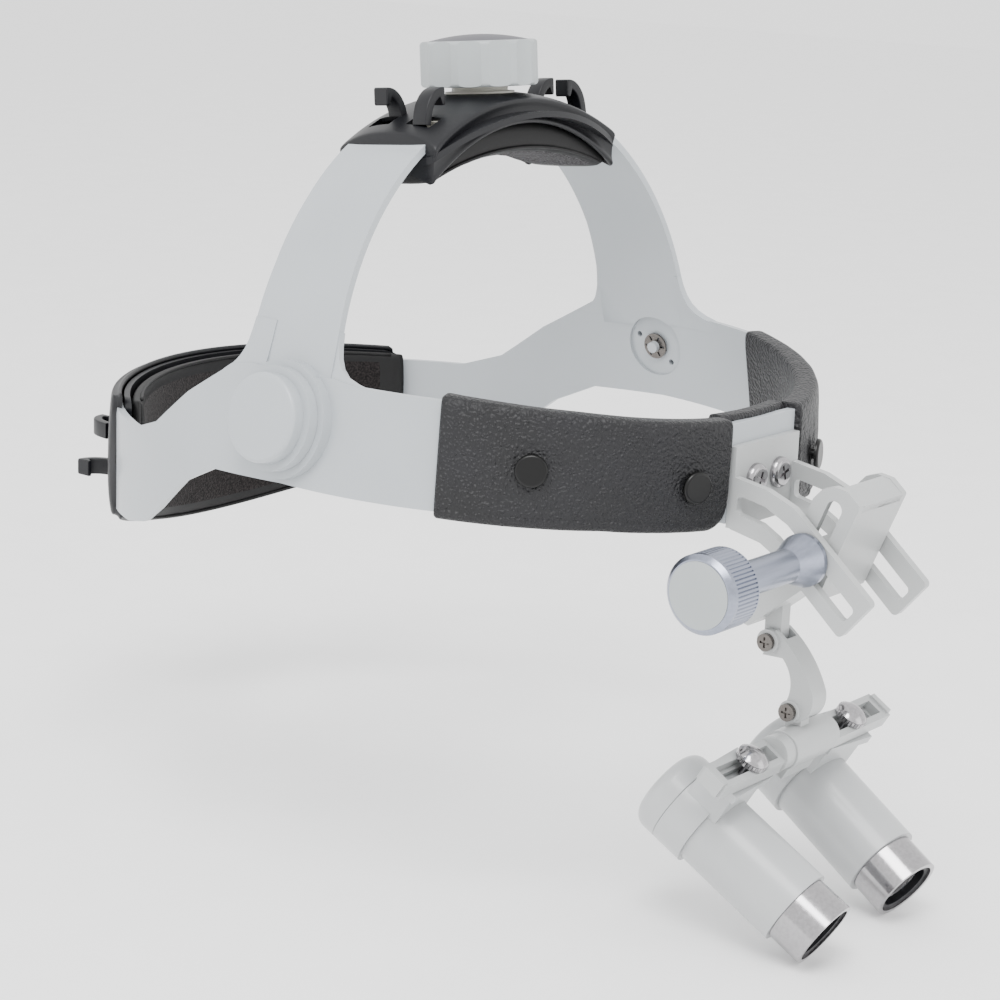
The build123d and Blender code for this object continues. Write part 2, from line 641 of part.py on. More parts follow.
def lens(radius, middle, thickness, bulge):
    """Biconvex lens on the barrel axis."""
    rim = thickness / 2
    ball = (radius**2 + bulge**2) / (2 * bulge)
    waist = rim + bulge - ball + math.sqrt(ball**2 - radius**2 / 4)
    with BuildSketch(Plane.XY) as profile:
        with BuildLine():
            Line((0, -rim - bulge), (0, rim + bulge))
            ThreePointArc((0, rim + bulge), (radius / 2, waist), (radius, rim))
            Line((radius, rim), (radius, -rim))
            ThreePointArc((radius, -rim), (radius / 2, -waist), (0, -rim - bulge))
        make_face()
    return barrel_frame(Pos(0, middle, -BARREL_DROP) * revolve(profile.sketch, Axis.Y))


def prism():
    """Roof prism block inside the housing."""
    axis = -BARREL_DROP
    return barrel_frame(Pos(0, 5.2, axis) * Rot(Y=45) * Box(12.0, 5.8, 12.0))


def eyecup():
    """Soft ring behind the eyepiece, level with the cover."""
    axis = -BARREL_DROP
    cup = rod_y(8.0, COVER_BACK - 1.75, COVER_BACK + 0.15, 0, axis)
    cup = fillet(cup.edges().filter_by(GeomType.CIRCLE).sort_by(Axis.Y)[-1], 0.5)
    return barrel_frame(cup - rod_y(6.6, 0, 60, 0, axis))


# ---- the whole object ---------------------------------------------------------------------
def both(shape):
    """A piece and its mirror image as one node."""
    return Compound(children=[shape, mirrored(shape)])


def both_sides(name, shape):
    """A piece on the wearer's right (-X) and its mirror image on the left."""
    return {f"{name}_right": shape, f"{name}_left": mirrored(shape)}


def all_pieces():
    """Every node of the object, by name."""
    top_place = Rot(X=-STRAP_LEAN) * Pos(0, 0, TOP_CREST - TOP_R)
    rear_place = Pos(0, REAR_CREST - REAR_R, REAR_Z) * Rot(X=-90)
    panel = side_panel()
    pieces = {
        "side_panel_left": panel,
        "side_panel_right": mirrored(panel),
        "hub_discs": both(hub_disc()),
        "star_clips": both(star_clip()),
        "leather_sleeves": both(leather_sleeve()),
    }
    pieces["front_plate"] = front_plate()
    pieces["forehead_pad"] = forehead_pad()
    pieces["press_studs"] = press_studs()
    pieces.update(saddle_set("top", top_place, TOP_R, TOP_HALF_X, TOP_SIDES, TOP_MOUTH, TOP_HOOK_X,
                             0.0, (23.0, 33.0)))
    pieces.update(saddle_set("rear", rear_place, REAR_R, REAR_HALF_X, REAR_SIDES, REAR_MOUTH, REAR_HOOK_X,
                             -2.5, (22.0, 49.0)))
    pieces["knob_collars"] = knob_collars([(top_place, TOP_R), (rear_place, REAR_R)])
    pieces["bracket"] = bracket()
    pieces["bracket_screws"] = bracket_screws()
    pieces["clamp_bolt"] = clamp_bolt()
    pieces["clamp_sleeve"] = clamp_sleeve()
    pieces["clamp_knob"] = clamp_knob()
    pieces["clamp_knob_disc"] = clamp_knob_disc()
    pieces["slot_guides"] = slot_guides()
    pieces["carriage"] = carriage()
    pieces["carriage_cheeks"] = carriage_cheeks()
    pieces["c_arm"] = c_arm()
    pieces["hinge_screws"] = Compound(children=[hinge_screw(HINGE_UP, 4.9), hinge_screw(HINGE_LOW, 4.9)])
    pieces["centre_body"] = centre_body()
    for name, shape in (
        ("pd_arm", pd_arm()),
        ("thumb_screw", thumb_screw()),
        ("prism_housing", prism_housing()),
        ("housing_cover", housing_cover()),
        ("barrel_tube", barrel_tube()),
        ("objective_ring", objective_ring()),
        ("retaining_ring", retaining_ring()),
        ("objective_lens", lens(7.9, RING_FRONT + 5.2, 1.2, 1.3)),
        ("eye_lens", lens(6.5, COVER_BACK - 2.4, 0.8, 0.9)),
        ("prism", prism()),
        ("eyecup", eyecup()),
    ):
        pieces.update(both_sides(name, shape))
    return pieces


if __name__ == "__main__":
    os.makedirs("parts", exist_ok=True)
    for name, shape in all_pieces().items():
        export_step(shape, f"parts/{name}.step")
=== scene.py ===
import math

import bmesh
import bpy
import numpy as np
from mathutils import Matrix, Vector, noise


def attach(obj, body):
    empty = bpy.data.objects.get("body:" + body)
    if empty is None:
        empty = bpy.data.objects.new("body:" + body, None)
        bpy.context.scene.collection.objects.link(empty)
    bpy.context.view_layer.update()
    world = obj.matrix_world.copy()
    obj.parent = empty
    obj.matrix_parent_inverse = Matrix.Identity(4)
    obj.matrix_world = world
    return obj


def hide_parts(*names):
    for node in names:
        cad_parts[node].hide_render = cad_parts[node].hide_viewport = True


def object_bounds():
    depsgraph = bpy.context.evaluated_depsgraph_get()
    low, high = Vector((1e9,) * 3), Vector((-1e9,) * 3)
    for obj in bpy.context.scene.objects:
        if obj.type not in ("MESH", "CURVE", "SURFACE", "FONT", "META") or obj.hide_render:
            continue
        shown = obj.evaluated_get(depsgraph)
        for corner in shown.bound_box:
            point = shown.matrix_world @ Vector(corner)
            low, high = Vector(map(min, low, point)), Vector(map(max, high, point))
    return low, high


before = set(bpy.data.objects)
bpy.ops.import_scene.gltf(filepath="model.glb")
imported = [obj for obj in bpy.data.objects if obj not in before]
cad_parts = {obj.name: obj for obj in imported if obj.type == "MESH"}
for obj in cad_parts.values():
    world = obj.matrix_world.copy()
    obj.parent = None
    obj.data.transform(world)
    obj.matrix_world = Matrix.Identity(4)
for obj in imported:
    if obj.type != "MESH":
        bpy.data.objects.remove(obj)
size_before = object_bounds()

# Lengths are millimetres in this script and become metres in new_object().
MM = 0.001

# ---- driving sizes, the same as in the design -------------------------------------------------
HUB_X, LEAN, FRONT_B, REAR_B = 92.0, 0.2, 103.2, 134.0
LEAN_STOP = -18.0
SHEET = 2.2
FACE_HALF = 17.0
STRAP_LEAN = math.radians(5.0)
STRAP_FOOT, STRAP_SLOPE = 92.3, 0.334
TOP_R, TOP_CREST = 98.0, 85.4
REAR_R, REAR_CREST, REAR_HALF_X, REAR_Z = 85.0, 129.5, 65.5, -38.0
TURNED = np.array([math.cos(math.atan(LEAN)), 0.0, math.sin(math.atan(LEAN))])


# ---- mesh helpers -----------------------------------------------------------------------------
def new_object(name, points, faces):
    """Mesh object from points in millimetres."""
    mesh = bpy.data.meshes.new(name)
    mesh.from_pydata((np.asarray(points, float) * MM).tolist(), [], faces)
    obj = bpy.data.objects.new(name, mesh)
    bpy.context.scene.collection.objects.link(obj)
    tidy_normals(obj)
    return obj


def tidy_normals(obj):
    """Faces point outward and shade smooth."""
    work = bmesh.new()
    work.from_mesh(obj.data)
    bmesh.ops.recalc_face_normals(work, faces=work.faces)
    work.to_mesh(obj.data)
    work.free()
    obj.data.polygons.foreach_set("use_smooth", [True] * len(obj.data.polygons))


def grid_faces(rows, columns, start=0, closed=False):
    """Quads between neighbouring rows of points; closed joins the last column to the first."""
    faces = []
    for i in range(rows - 1):
        for j in range(columns if closed else columns - 1):
            k = (j + 1) % columns
            a = start + i * columns
            faces.append((a + j, a + k, a + columns + k, a + columns + j))
    return faces


def slab(name, outer, thickness):
    """Closed sheet: a grid of outer points and the same grid set in along its normals."""
    rows, columns, _ = outer.shape
    normal = np.cross(np.gradient(outer, axis=0), np.gradient(outer, axis=1))
    normal /= np.linalg.norm(normal, axis=2, keepdims=True)
    if np.sum(normal * (outer - outer.mean(axis=(0, 1)) * [0, 1, 0])) < 0:
        normal = -normal
    inner = outer - normal * thickness
    count = rows * columns
    faces = grid_faces(rows, columns) + grid_faces(rows, columns, count)
    rim = [i * columns for i in range(rows)] + [(rows - 1) * columns + j for j in range(1, columns)]
    rim += [i * columns + columns - 1 for i in range(rows - 2, -1, -1)]
    rim += list(range(columns - 2, 0, -1))
    for a, b in zip(rim, rim[1:] + rim[:1]):
        faces.append((a, b, b + count, a + count))
    return new_object(name, np.concatenate([outer.reshape(-1, 3), inner.reshape(-1, 3)]), faces)


def tube(name, loops):
    """Closed body through a row of closed loops, capped at both ends."""
    loops = np.asarray(loops, float)
    rows, columns, _ = loops.shape
    faces = grid_faces(rows, columns, closed=True)
    faces.append(tuple(range(columns)))
    faces.append(tuple((rows - 1) * columns + j for j in range(columns)))
    return new_object(name, loops.reshape(-1, 3), faces)


def revolved(name, profile, place, steps=96):
    """Closed ring or disc: a (radius, height) outline turned about the place's Z."""
    profile = np.asarray(profile, float)
    loops = []
    for step in range(steps):
        turn = 2 * math.pi * step / steps
        loops.append([(r * math.cos(turn), r * math.sin(turn), h) for r, h in profile])
    loops.append(loops[0])
    points = np.asarray(loops).reshape(-1, 3)
    obj = new_object(name, points, grid_faces(steps + 1, len(profile), closed=True))
    weld(obj, 0.001)
    obj.data.transform(place)
    tidy_normals(obj)
    return obj


def weld(obj, distance):
    """Joins points closer than distance millimetres."""
    work = bmesh.new()
    work.from_mesh(obj.data)
    bmesh.ops.remove_doubles(work, verts=work.verts, dist=distance * MM)
    work.to_mesh(obj.data)
    work.free()


def settle(obj):
    """Applies the modifiers."""
    bpy.context.view_layer.update()
    final = bpy.data.meshes.new_from_object(obj.evaluated_get(bpy.context.evaluated_depsgraph_get()))
    obj.modifiers.clear()
    obj.data = final
    obj.data.polygons.foreach_set("use_smooth", [True] * len(obj.data.polygons))
    return obj


def joined(name, parts):
    """One mesh from several."""
    work = bmesh.new()
    for part in parts:
        part.data.transform(part.matrix_world)
        work.from_mesh(part.data)
        bpy.data.objects.remove(part)
    mesh = bpy.data.meshes.new(name)
    work.to_mesh(mesh)
    work.free()
    obj = bpy.data.objects.new(name, mesh)
    bpy.context.scene.collection.objects.link(obj)
    return obj


def carve(obj, cutter):
    """Cuts one mesh out of another."""
    cut = obj.modifiers.new("Cut", "BOOLEAN")
    cut.operation = "DIFFERENCE"
    cut.solver = "EXACT"
    cut.object = cutter
    settle(obj)
    bpy.data.objects.remove(cutter)
    return obj


def box_mesh(name, xs, ys, zs):
    """Plain cutter box between pairs of limits."""
    corners = [(x, y, z) for x in xs for y in ys for z in zs]
    faces = [(0, 1, 3, 2), (4, 6, 7, 5), (0, 4, 5, 1), (2, 3, 7, 6), (0, 2, 6, 4), (1, 5, 7, 3)]
    return new_object(name, corners, faces)


def mirrored(obj, name):
    """The same piece on the other side of the head."""
    twin = obj.copy()
    twin.data = obj.data.copy()
    twin.name = name
    bpy.context.scene.collection.objects.link(twin)
    twin.data.transform(Matrix.Scale(-1, 4, (1, 0, 0)))
    twin.data.flip_normals()
    return twin


def use(obj, body, material, slot_name, *nodes):
    """Puts a finished piece on its body in place of CAD nodes."""
    obj.data.materials.append(material)
    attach(obj, body)
    if nodes:
        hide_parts(*nodes)
    return obj


def softened(nodes, name, width, material, body, slot_name, extra=()):
    """The shape of CAD nodes with its sharp edges rounded off by width millimetres."""
    obj = joined(name, [loose_copy(node) for node in nodes] + list(extra))
    weld(obj, 0.002)
    bevel = obj.modifiers.new("Bevel", "BEVEL")
    bevel.width = width * MM
    bevel.segments = 3
    bevel.limit_method = "ANGLE"
    bevel.angle_limit = math.radians(38)
    settle(obj)
    normals = obj.modifiers.new("Normals", "WEIGHTED_NORMAL")
    normals.keep_sharp = False
    settle(obj)
    return use(obj, body, material, slot_name, *nodes)


def loose_copy(node):
    """Free copy of a CAD node's mesh."""
    obj = bpy.data.objects.new(node + "_copy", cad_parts[node].data.copy())
    bpy.context.scene.collection.objects.link(obj)
    return obj


# ---- materials --------------------------------------------------------------------------------
def linear(red, green, blue):
    """Screen colour, 0 to 255, as linear light."""
    values = [c / 255 for c in (red, green, blue)]
    return tuple(c / 12.92 if c <= 0.04045 else ((c + 0.055) / 1.055) ** 2.4 for c in values) + (1.0,)


def shader(name, rough, metal=0.0, coat=0.0, sheen=0.0, shine=0.5):
    """Material with a principled shader; returns it with its node tree and shader node."""
    material = bpy.data.materials.new(name)
    material.use_nodes = True
    nodes = material.node_tree
    main = nodes.nodes["Principled BSDF"]
    main.inputs["Roughness"].default_value = rough
    main.inputs["Metallic"].default_value = metal
    main.inputs["Specular IOR Level"].default_value = shine
    main.inputs["Coat Weight"].default_value = coat
    main.inputs["Coat Roughness"].default_value = 0.15
    main.inputs["Sheen Weight"].default_value = sheen
    return material, nodes, main


def object_noise(tree, scale, detail, stretch=(1, 1, 1)):
    """Noise fixed to the object, its scale in features per metre."""
    place = tree.nodes.new("ShaderNodeTexCoord")
    mapping = tree.nodes.new("ShaderNodeMapping")
    mapping.inputs["Scale"].default_value = stretch
    texture = tree.nodes.new("ShaderNodeTexNoise")
    texture.inputs["Scale"].default_value = scale
    texture.inputs["Detail"].default_value = detail
    tree.links.new(place.outputs["Object"], mapping.inputs["Vector"])
    tree.links.new(mapping.outputs["Vector"], texture.inputs["Vector"])
    return texture.outputs["Fac"], mapping.outputs["Vector"]


def vary_colour(tree, main, value, dark, light, low=0.35, high=0.65):
    """Base colour between two tones, by a value."""
    ramp = tree.nodes.new("ShaderNodeValToRGB")
    ramp.color_ramp.elements[0].position = low
    ramp.color_ramp.elements[1].position = high
    ramp.color_ramp.elements[0].color = dark
    ramp.color_ramp.elements[1].color = light
    tree.links.new(value, ramp.inputs["Fac"])
    tree.links.new(ramp.outputs["Color"], main.inputs["Base Color"])


def vary_rough(tree, main, value, low, high):
    """Roughness between two values."""
    span = tree.nodes.new("ShaderNodeMapRange")
    span.inputs["To Min"].default_value = low
    span.inputs["To Max"].default_value = high
    tree.links.new(value, span.inputs["Value"])
    tree.links.new(span.outputs["Result"], main.inputs["Roughness"])


def bump(tree, main, value, strength, depth):
    """Relief from a value, depth in millimetres."""
    node = tree.nodes.new("ShaderNodeBump")
    node.inputs["Strength"].default_value = strength
    node.inputs["Distance"].default_value = depth * MM
    tree.links.new(value, node.inputs["Height"])
    tree.links.new(node.outputs["Normal"], main.inputs["Normal"])


def moulded(name, colour, rough, grain=2600, depth=0.02, coat=0.0, spread=0.06, shine=0.5):
    """Moulded plastic or paint: faint tone variation, fine grain and uneven gloss."""
    material, tree, main = shader(name, rough, coat=coat, shine=shine)
    broad, _ = object_noise(tree, 35, 3)
    fine, _ = object_noise(tree, grain, 2)
    dark = tuple(c * (1 - spread) for c in colour[:3]) + (1.0,)
    light = tuple(min(1.0, c * (1 + spread)) for c in colour[:3]) + (1.0,)
    vary_colour(tree, main, broad, dark, light)
    vary_rough(tree, main, broad, rough - 0.06, rough + 0.08)
    bump(tree, main, fine, 0.35, depth)
    return material


def leather_material():
    """Pebble-grained slate leather with faint broad tone patches."""
    material, tree, main = shader("leather", 0.48, sheen=0.03, shine=0.38)
    _, vector = object_noise(tree, 300, 3)
    cells = tree.nodes.new("ShaderNodeTexVoronoi")
    cells.feature = "SMOOTH_F1"
    cells.inputs["Scale"].default_value = 1050
    cells.inputs["Smoothness"].default_value = 0.7
    warp, _ = object_noise(tree, 260, 3)
    shift = tree.nodes.new("ShaderNodeVectorMath")
    shift.operation = "MULTIPLY_ADD"
    shift.inputs[1].default_value = (0.003, 0.003, 0.003)
    tree.links.new(warp, shift.inputs[0])
    tree.links.new(vector, shift.inputs[2])
    tree.links.new(shift.outputs["Vector"], cells.inputs["Vector"])
    broad, _ = object_noise(tree, 45, 4)
    vary_colour(tree, main, broad, linear(10, 10, 13), linear(16, 16, 20))
    vary_rough(tree, main, broad, 0.42, 0.6)
    invert = tree.nodes.new("ShaderNodeMath")
    invert.operation = "SUBTRACT"
    invert.inputs[0].default_value = 1.0
    tree.links.new(cells.outputs["Distance"], invert.inputs[1])
    bump(tree, main, invert.outputs["Value"], 1.0, 0.6)
    return material


def pile_material(name, dark, light):
    """Short looped pile of the saddle pads."""
    material, tree, main = shader(name, 0.95, sheen=0.05, shine=0.2)
    loops, _ = object_noise(tree, 1500, 4)
    vary_colour(tree, main, loops, dark, light, 0.4, 0.62)
    bump(tree, main, loops, 1.0, 0.6)
    return material


def metal_material(name, colour, rough, stretch, depth=0.01):
    """Turned or polished metal; stretch draws the scratches out along one axis."""
    material, tree, main = shader(name, rough, 1.0)
    lines, _ = object_noise(tree, 900, 3, stretch)
    vary_colour(tree, main, lines, tuple(c * 0.88 for c in colour[:3]) + (1.0,), colour)
    vary_rough(tree, main, lines, max(0.03, rough - 0.05), rough + 0.07)
    bump(tree, main, lines, 0.25, depth)
    return material


def glass_material():
    """Coated lens glass with a faint violet cast."""
    material, tree, main = shader("lens_glass", 0.02, coat=1.0)
    haze, _ = object_noise(tree, 40, 2)
    vary_colour(tree, main, haze, linear(222, 226, 246), linear(240, 242, 252))
    main.inputs["Transmission Weight"].default_value = 1.0
    main.inputs["IOR"].default_value = 1.5
    return material


PANEL = moulded("panel_plastic", linear(164, 169, 173), 0.36, coat=0.15, spread=0.02)
DARK = moulded("dark_plastic", linear(11, 12, 16), 0.42, depth=0.04, spread=0.08, shine=0.32)
CAP = moulded("cap_plastic", linear(50, 49, 58), 0.4, spread=0.05)
KNOB = moulded("knob_plastic", linear(156, 161, 162), 0.4, spread=0.03)
GEAR = moulded("gear_plastic", linear(180, 178, 168), 0.42, spread=0.04)
BRACKET = moulded("bracket_paint", linear(166, 168, 168), 0.38, coat=0.25, spread=0.03)
BARREL = moulded("barrel_paint", linear(170, 172, 173), 0.34, coat=0.3, depth=0.015, spread=0.025)
LEATHER = leather_material()
STUD = moulded("stud_black", linear(1, 1, 1), 0.3, depth=0.01, spread=0.2, shine=0.3)
RUBBER = moulded("eyecup_rubber", linear(26, 26, 28), 0.75, depth=0.06, spread=0.2)
PAD_TOP = pile_material("pad_pile_grey", linear(20, 19, 21), linear(74, 72, 75))
PAD_REAR = pile_material("pad_pile_brown", linear(14, 12, 12), linear(38, 34, 34))
PAD_WALL = moulded("pad_wall", linear(7, 7, 8), 0.55, grain=1800, depth=0.08, spread=0.15, shine=0.3)
CHROME = metal_material("polished_chrome", linear(168, 166, 168), 0.16, (1, 1, 1), 0.004)
STEEL = metal_material("dark_stainless", linear(104, 100, 97), 0.26, (1, 1, 1))
ALUMINIUM = metal_material("satin_aluminium", linear(148, 153, 168), 0.3, (0.05, 1, 1))
GLASS = glass_material()


# ---- band surfaces ----------------------------------------------------------------------------
def smoothstep(value):
    value = min(1.0, max(0.0, value))
    return value * value * (3 - 2 * value)


def band_point(angle, height, out=0.0):
    """Point out millimetres off the band's +X face; angle 0 is the hub, positive to the back."""
    back = angle > 0
    low = max(height, LEAN_STOP) if back else height
    a = HUB_X - LEAN * low + out
    b = (REAR_B if back else FRONT_B) + out
    return np.array([a * math.cos(angle), b * math.sin(angle), height])


# Top and bottom outline of the forehead arm, in (y, z).
TOP_EDGE = [(-110, 3.4), (-102, 4.0), (-80, 7.6), (-48, 11.2), (-24, 12.0)]
LOW_EDGE = [(-110, -24.6), (-102, -24.0), (-85, -21.2), (-50, -19.0), (-2, -17.6)]
# Rows of the fillets at the strap's foot: (height, edge in front of the hub, edge behind it).
FOOT_ROWS = [
    (8.4, -28.0, 30.2), (10.0, -28.0, 28.2), (11.4, -27.8, 26.2), (12.2, -25.6, 24.9),
    (13.2, -21.8, 23.9), (14.6, -18.6, 22.8), (16.6, -16.2, 21.8), (19.2, -14.6, 21.0),
    (22.4, -13.6, 20.5), (26.0, -13.0, 20.1),
]
FOOT_ROOT = 11.5


def edge_height(edge, y):
    """Height of an outline at a distance behind the hub."""
    ys, zs = zip(*edge)
    return float(np.interp(y, ys, zs))


def panel(side):
    """Side panel with rounded edges, and two blind holes in the seat of its clip."""
    name = f"side_panel_{side}"
    obj = softened([name], name + "_moulding", 0.55, PANEL, "band", "panel_plastic")
    turn = hub_place()
    if side == "right":
        turn = Matrix.Scale(-1, 4, (1, 0, 0)) @ turn
    hole = [(0.01, -9), (1.0, -9), (1.0, 0.8), (0.01, 0.8)]
    for along, up in ((7.0, 3.0), (-5.4, -5.4)):
        carve(obj, revolved("hole", hole, turn @ offset(along, up), 24))
    crease_by_angle(obj, 30)
    for column, spot in ((1, "front"), (2, "rear")):
        web = strap_fillet(f"strap_fillet_{spot}_{side}", column)
        if side == "right":
            web.data.transform(Matrix.Scale(-1, 4, (1, 0, 0)))
            web.data.flip_normals()
        crease_by_angle(web, 40)
        use(web, "band", PANEL, "panel_plastic")
    return obj


def strap_fillet(name, column):
    """Filleted web from the +X side's overhead strap to its panel; column 1 is in front, 2 behind."""
    outer = []
    for row in FOOT_ROWS:
        z, edge = row[0], row[column]
        points = []
        for y in np.linspace(math.copysign(FOOT_ROOT, edge), edge, 24):
            bow = math.sqrt(1 - (y / (REAR_B if y > 0 else FRONT_B)) ** 2)
            on_band = (HUB_X - LEAN * z) * bow
            spread = 0.6 * HUB_X * (1 - bow) * smoothstep((abs(y) - 12) / 10)
            on_strap = STRAP_FOOT - STRAP_SLOPE * z - spread
            points.append((on_band + (on_strap - on_band) * smoothstep((z - 6) / 12) - 0.06, y, z))
        outer.append(points)
    web = slab(name, np.array(outer), SHEET)
    tidy_normals(web)
    return web


def offset(x, y, z=0.0):
    """Shift in millimetres."""
    return Matrix.Translation((x * MM, y * MM, z * MM))


def hub_place():
    """Frame on the hub's outer face, its Z pointing outward."""
    z = Vector(TURNED)
    x = Vector((0, 1, 0))
    y = z.cross(x)
    place = Matrix((x, y, z)).transposed().to_4x4()
    place.translation = Vector((HUB_X * MM, 0, 0))
    return place


def loop_outline(thick_out, thick_in, low, high, count):
    """Rounded outline in (distance out, height)."""
    half_t, half_h = (thick_out + thick_in) / 2, (high - low) / 2
    middle_t, middle_h = (thick_out - thick_in) / 2, (high + low) / 2
    points = []
    for turn in np.linspace(0, 2 * math.pi, count, endpoint=False):
        c, s = math.cos(turn), math.sin(turn)
        p, q = 2 / 5.0, 2 / 9.0
        x = half_t * math.copysign(abs(c) ** p, c)
        y = half_h * math.copysign(abs(s) ** q, s)
        points.append((middle_t + x, middle_h + y))
    return points


def leather_sleeve(name, wrinkle):
    """Padded leather sleeve round the forehead arm of the +X panel."""
    first = -math.acos((FACE_HALF + 0.3) / HUB_X)
    last = -math.asin(48.6 / FRONT_B)
    loops = []
    stations = np.linspace(0, 1, 150)
    for along in stations:
        end = min(along, 1 - along) * 118.0
        shrink = 1.0 if end > 1.6 else math.sqrt(max(0.0, 1 - (1 - end / 1.6) ** 2)) * 0.35 + 0.65
        loop = []
        for out, level in loop_outline(1.9, 6.2, -1, 1, 88):
            angle = first + (last - first) * along
            y = band_point(angle, 0)[1]
            low, high = edge_height(LOW_EDGE, y) - 1.9, edge_height(TOP_EDGE, y) + 1.8
            reach = max(0.0, 8.0 - along * 95.0)
            low += 8.0 - math.sqrt(max(0.0, 64.0 - reach * reach))
            height = (low + high) / 2 + (high - low) / 2 * level * (0.9 + 0.1 * shrink)
            hem = 0.3 * math.exp(-((height - low - 3.2) / 0.5) ** 2) if out > 0 else 0.0
            slant = angle + 0.012 * level * smoothstep((along - 0.8) / 0.2)
            fold = noise.noise(Vector((along * 34 + height * 0.05, height * 0.05, 3.0 + wrinkle)))
            gather = wrinkle * smoothstep((0.62 - along) / 0.35) * smoothstep((6 - height) / 16)
            swell = gather * fold + 0.22 * noise.noise(Vector((along * 9, height * 0.2, 1.0))) - hem
            loop.append(band_point(slant, height, out * shrink + swell))
        loops.append(loop)
    return tube(name, loops)


def forehead_pad():
    """Leather-covered foam behind the forehead plate, showing above its edge."""
    loops = []
    for x in np.linspace(-FACE_HALF + 0.2, FACE_HALF - 0.2, 50):
        angle = -math.acos(x / HUB_X)
        loop = []
        for out, height in loop_outline(-3.6, 9.6, -23.6, 6.0, 60):
            puff = 0.25 * noise.noise(Vector((x * 0.16, height * 0.16, 5.0)))
            loop.append(band_point(angle, height, out + puff))
        loops.append(loop)
    return tube("forehead_pad_cover", loops)


# ---- saddle mouldings -------------------------------------------------------------------------
# A Saddle edge is (y at the middle, y at the ends, rise at the middle, rise at the ends); rises are
# measured straight up from the saddle's arc.
DECK, UNDERSIDE = 2.9, 1.2
BORE_R = 10.7
TOP_CREST_EDGE, TOP_LIP_EDGE = (17.4, 18.8, 0.6, -1.6), (18.0, 17.2, -5.7, -10.9)
REAR_UPPER_CREST, REAR_UPPER_LIP = (27.0, 25.2, 1.6, 1.2), (28.0, 26.0, -1.8, -2.6)
REAR_LOWER_CREST, REAR_LOWER_LIP = (26.6, 12.8, 1.4, 1.2), (28.0, 13.5, -3.4, -2.6)


def on_arc(radius, x, y, rise):
    """Point over a saddle's arc, in the saddle's own upright frame."""
    return (x, y, math.sqrt(radius**2 - x**2) + rise)


def edge_at(edge, along):
    """Distance and rise of a saddle edge; along is 0 at the middle and 1 at an end."""
    weight = along * along
    return edge[0] + (edge[1] - edge[0]) * weight, edge[2] + (edge[3] - edge[2]) * weight


def half_section(crest, lip, along):
    """Half cross-section: crowned deck, crest, hollow flange face, rolled lip and inner wall."""
    (far, rise), (out, drop) = edge_at(crest, along), edge_at(lip, along)
    stops = (0.15, 0.35, 0.55, 0.7, 0.82, 0.92, 0.985)
    points = [(far * t, DECK - (DECK - rise) * t**2.6) for t in stops]
    points.append((far + 0.35, rise - 0.75))
    depth = min(0.4, 0.06 * (rise - drop))
    for t in (0.3, 0.5, 0.68, 0.84):
        y = far + (out - far) * t - depth * math.sin(math.pi * t)
        points.append((y, rise + (drop - rise) * t))
    for step, sink in ((0.35, -0.35), (0.55, 0.25), (0.3, 0.9), (-0.5, 1.2)):
        points.append((out + step, drop - sink))
    points += [(out - 1.5, drop - 0.9), ((out + far) / 2 - 1.4, (rise + drop) / 2)]
    points.append((far - 0.95, min(rise - 0.35, 1.3)))
    return points + [(far * 0.5, UNDERSIDE)]


def saddle(name, radius, half_x, left, right, hook_x, hook_y, windows, place):
    """Dark housing of one adjusting unit, with its hooks and cable windows."""
    loops = []
    for along in np.linspace(-1, 1, 100):
        section = [(0.0, DECK)] + half_section(*right, abs(along)) + [(0.0, UNDERSIDE)]
        section += [(-y, h) for y, h in reversed(half_section(*left, abs(along)))]
        tuck = 0.5 * smoothstep((abs(along) - 0.97) / 0.03)
        loops.append([on_arc(radius, along * half_x, y, h - tuck) for y, h in section])
    shell = tube(name + "_shell", loops)
    smooth = shell.modifiers.new("Subdivide", "SUBSURF")
    smooth.levels = 1
    settle(shell)
    for side in (-1, 1):
        for window in windows:
            carve(shell, tilted_box(radius, side * hook_x, window + hook_y, (3.1, 8.6)))
    bore = [(0.01, 0), (BORE_R, 0), (BORE_R, 200), (0.01, 200)]
    carve(shell, revolved("bore", bore, Matrix.Identity(4), 64))
    parts = [shell]
    for side in (-1, 1):
        parts.append(hook(radius + DECK, side * (hook_x - 0.4), hook_y + 4.9, side))
        parts.append(hook(radius + DECK, side * (hook_x + 0.4), hook_y - 8.6, -side))
    body = joined(name, parts)
    body.data.transform(place)
    body.data.polygons.foreach_set("use_smooth", [True] * len(body.data.polygons))
    crease_by_angle(body, 42)
    return body


def crease_by_angle(obj, degrees):
    """Smooth shading, broken at edges sharper than an angle."""
    work = bmesh.new()
    work.from_mesh(obj.data)
    bmesh.ops.recalc_face_normals(work, faces=work.faces)
    for edge in work.edges:
        edge.smooth = len(edge.link_faces) == 2 and edge.calc_face_angle(0.0) < math.radians(degrees)
    work.to_mesh(obj.data)
    work.free()


def tilted_box(radius, x, y, size):
    """Cutter for a cable window, square to the arc."""
    half_x, half_y = size[0], size[1] / 2
    cutter = box_mesh("window", (-half_x, half_x), (y - half_y, y + half_y), (radius - 0.5, radius + 9))
    cutter.data.transform(Matrix.Rotation(math.asin(x / radius), 4, "Y"))
    return cutter


# Middle line of a hook from its root to its tip: (toward the back of the curve, up).
HOOK_LINE = [
    (2.6, -5.0), (2.2, -1.0), (1.7, 1.6), (0.8, 3.8), (-0.6, 5.6), (-2.3, 6.8), (-4.0, 7.3), (-5.7, 7.3),
]
HOOK_HALF = 1.4


